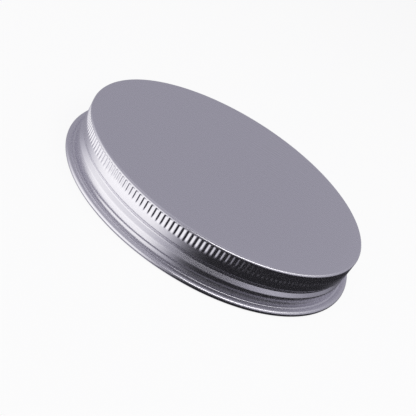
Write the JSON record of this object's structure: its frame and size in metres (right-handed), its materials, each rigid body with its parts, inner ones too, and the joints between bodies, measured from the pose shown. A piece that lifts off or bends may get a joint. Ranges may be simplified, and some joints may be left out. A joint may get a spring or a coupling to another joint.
{
  "type": "aluminium screw cap",
  "caption": "Low round screw cap pressed from aluminium sheet, with a knurled band, a rolled neck and thread, a curled hem and a foam sealing liner inside.",
  "frame": {"origin": "centre of the mouth, on the plane that the curled hem stands on", "axes": "+Z along the cap's axis, from the mouth up to the top panel"},
  "size_m": [0.0898, 0.0898, 0.0124],
  "materials": {
    "shell_metal": "satin",
    "liner_foam": "matte"
  },
  "bodies": {
    "root": {"cap_shell": "shell_metal", "sealing_liner": "liner_foam"}
  },
  "joints": []
}
